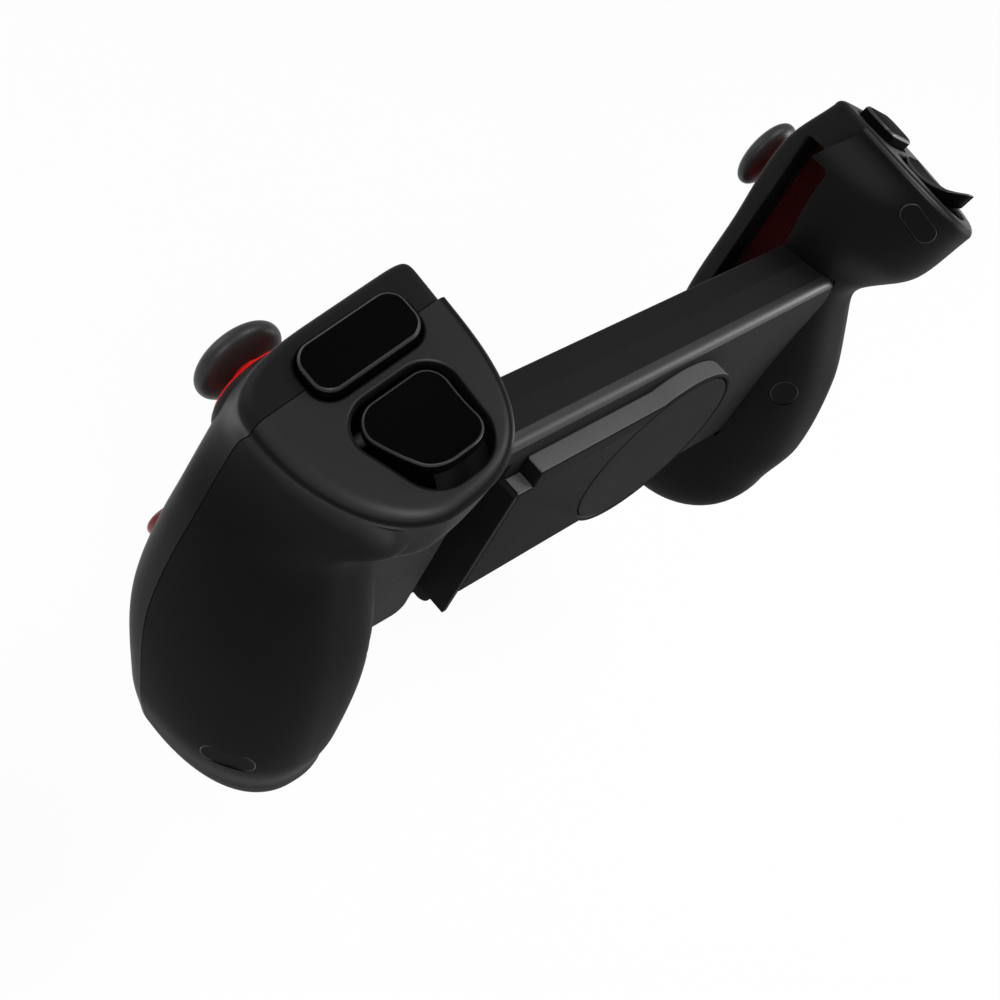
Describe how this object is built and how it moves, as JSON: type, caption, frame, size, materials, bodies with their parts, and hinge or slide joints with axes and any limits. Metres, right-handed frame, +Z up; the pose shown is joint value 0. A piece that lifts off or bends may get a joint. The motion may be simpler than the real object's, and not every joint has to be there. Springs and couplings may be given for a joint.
{
  "type": "mobile game controller",
  "caption": "Telescopic game controller that clamps a phone between two handled grips, each with a thumb stick, bumper, trigger and face buttons.",
  "frame": {"origin": "middle of the bridge face that the back of the phone rests on", "axes": "+X to the player's right, -Y towards the player, +Z up towards the shoulder buttons"},
  "size_m": [0.2066, 0.0536, 0.1261],
  "materials": {
    "shell": "satin black moulded plastic",
    "tray": "satin black moulded plastic",
    "cover": "satin black moulded plastic",
    "trim": "fine black plastic",
    "jaw_pad": "red soft lining",
    "light": "red light guide",
    "thumb_cap": "black soft-touch rubber",
    "gloss_key": "polished black plastic",
    "action_key": "clear red plastic",
    "menu_key": "black plastic",
    "housing": "dark plastic",
    "steel": "bright steel",
    "board": "green circuit board",
    "keypad": "grey rubber sheet",
    "cable": "amber film cable",
    "battery": "wrapped cell"
  },
  "bodies": {
    "left_grip": {"left_front_shell": "shell", "left_rear_shell": "shell", "left_jaw_pad": "jaw_pad", "left_light_ring": "light", "left_stick_base": "housing", "left_trigger_pin": "steel", "left_trigger_spring": "steel", "left_board": "board", "left_keypad": "keypad", "left_screw_covers": "trim", "bridge_tray": "tray", "bridge_back": "shell", "rear_cover": "cover", "boss_disc": "trim", "end_plate": "trim", "clamp_springs": "steel", "link_cable": "cable", "battery": "battery", "charge_socket": "steel"},
    "right_grip": {"right_front_shell": "shell", "right_rear_shell": "shell", "right_jaw_pad": "jaw_pad", "right_light_ring": "light", "right_stick_base": "housing", "right_trigger_pin": "steel", "right_trigger_spring": "steel", "right_board": "board", "right_keypad": "keypad", "right_screw_covers": "trim", "carriage": "housing"},
    "left_stick_yoke": {"left_stick_yoke": "steel"},
    "left_stick_arm": {"left_stick_arm": "steel"},
    "left_stick_cap": {"left_stick_cap": "thumb_cap"},
    "left_bumper": {"left_bumper": "gloss_key"},
    "left_trigger": {"left_trigger": "gloss_key"},
    "right_stick_yoke": {"right_stick_yoke": "steel"},
    "right_stick_arm": {"right_stick_arm": "steel"},
    "right_stick_cap": {"right_stick_cap": "thumb_cap"},
    "right_bumper": {"right_bumper": "gloss_key"},
    "right_trigger": {"right_trigger": "gloss_key"},
    "top_button": {"top_button": "action_key"},
    "outer_button": {"outer_button": "action_key"},
    "bottom_button": {"bottom_button": "action_key"},
    "inner_button": {"inner_button": "action_key"},
    "select_button": {"select_button": "menu_key"},
    "turbo_button": {"turbo_button": "menu_key"},
    "start_button": {"start_button": "menu_key"},
    "home_button": {"home_button": "menu_key"},
    "cross_ball": {"cross_ball": "steel"},
    "cross_pad": {"cross_pad": "menu_key"}
  },
  "joints": [
    {"name": "clamp_slide", "type": "slide", "parent": "left_grip", "child": "right_grip", "axis": [1, 0, 0], "range_m": [0, 0.086], "stiffness_N_per_m": 40, "springref_m": -0.03, "deforming": ["clamp_springs", "link_cable"]},
    {"name": "left_stick_pitch", "type": "hinge", "parent": "left_grip", "child": "left_stick_yoke", "pos_m": [-0.0808, -0.0076, 0.0323], "axis": [1, 0, 0], "range_deg": [-16, 16], "stiffness_Nm_per_rad": 0.02},
    {"name": "left_stick_yaw", "type": "hinge", "parent": "left_stick_yoke", "child": "left_stick_arm", "pos_m": [-0.0808, -0.0076, 0.0323], "axis": [0, 0, 1], "range_deg": [-16, 16], "stiffness_Nm_per_rad": 0.02},
    {"name": "left_stick_click", "type": "slide", "parent": "left_stick_arm", "child": "left_stick_cap", "axis": [0, 1, 0], "range_m": [0, 0.0006], "stiffness_N_per_m": 1500, "springref_m": -0.0005},
    {"name": "left_bumper_press", "type": "slide", "parent": "left_grip", "child": "left_bumper", "axis": [0.4055, -0.0785, -0.9107], "range_m": [0, 0.0012], "stiffness_N_per_m": 400, "springref_m": -0.0008},
    {"name": "left_trigger_pull", "type": "hinge", "parent": "left_grip", "child": "left_trigger", "pos_m": [-0.078, 0.00943, 0.05136], "axis": [0.9135, 0, 0.4067], "range_deg": [-12, 0], "stiffness_Nm_per_rad": 0.06, "springref_deg": 3.44},
    {"name": "right_stick_pitch", "type": "hinge", "parent": "right_grip", "child": "right_stick_yoke", "pos_m": [0.0808, -0.0076, 0.0323], "axis": [1, 0, 0], "range_deg": [-16, 16], "stiffness_Nm_per_rad": 0.02},
    {"name": "right_stick_yaw", "type": "hinge", "parent": "right_stick_yoke", "child": "right_stick_arm", "pos_m": [0.0808, -0.0076, 0.0323], "axis": [0, 0, 1], "range_deg": [-16, 16], "stiffness_Nm_per_rad": 0.02},
    {"name": "right_stick_click", "type": "slide", "parent": "right_stick_arm", "child": "right_stick_cap", "axis": [0, 1, 0], "range_m": [0, 0.0006], "stiffness_N_per_m": 1500, "springref_m": -0.0005},
    {"name": "right_bumper_press", "type": "slide", "parent": "right_grip", "child": "right_bumper", "axis": [-0.4055, -0.0785, -0.9107], "range_m": [0, 0.0012], "stiffness_N_per_m": 400, "springref_m": -0.0008},
    {"name": "right_trigger_pull", "type": "hinge", "parent": "right_grip", "child": "right_trigger", "pos_m": [0.078, 0.00943, 0.05136], "axis": [0.9135, 0, -0.4067], "range_deg": [-12, 0], "stiffness_Nm_per_rad": 0.06, "springref_deg": 3.44},
    {"name": "top_button_press", "type": "slide", "parent": "right_grip", "child": "top_button", "axis": [0, 1, 0], "range_m": [0, 0.0012], "stiffness_N_per_m": 350, "springref_m": -0.0006},
    {"name": "outer_button_press", "type": "slide", "parent": "right_grip", "child": "outer_button", "axis": [0, 1, 0], "range_m": [0, 0.0012], "stiffness_N_per_m": 350, "springref_m": -0.0006},
    {"name": "bottom_button_press", "type": "slide", "parent": "right_grip", "child": "bottom_button", "axis": [0, 1, 0], "range_m": [0, 0.0012], "stiffness_N_per_m": 350, "springref_m": -0.0006},
    {"name": "inner_button_press", "type": "slide", "parent": "right_grip", "child": "inner_button", "axis": [0, 1, 0], "range_m": [0, 0.0012], "stiffness_N_per_m": 350, "springref_m": -0.0006},
    {"name": "select_button_press", "type": "slide", "parent": "left_grip", "child": "select_button", "axis": [0, 1, 0], "range_m": [0, 0.0007], "stiffness_N_per_m": 400, "springref_m": -0.0006},
    {"name": "turbo_button_press", "type": "slide", "parent": "left_grip", "child": "turbo_button", "axis": [0, 1, 0], "range_m": [0, 0.0007], "stiffness_N_per_m": 400, "springref_m": -0.0006},
    {"name": "start_button_press", "type": "slide", "parent": "right_grip", "child": "start_button", "axis": [0, 1, 0], "range_m": [0, 0.0007], "stiffness_N_per_m": 400, "springref_m": -0.0006},
    {"name": "home_button_press", "type": "slide", "parent": "right_grip", "child": "home_button", "axis": [0, 1, 0], "range_m": [0, 0.0007], "stiffness_N_per_m": 400, "springref_m": -0.0006},
    {"name": "cross_pitch", "type": "hinge", "parent": "left_grip", "child": "cross_ball", "pos_m": [-0.0854, -0.01, 0.002], "axis": [1, 0, 0], "range_deg": [-4, 4], "stiffness_Nm_per_rad": 0.03},
    {"name": "cross_roll", "type": "hinge", "parent": "cross_ball", "child": "cross_pad", "pos_m": [-0.0854, -0.01, 0.002], "axis": [0, 0, 1], "range_deg": [-4, 4], "stiffness_Nm_per_rad": 0.03}
  ]
}
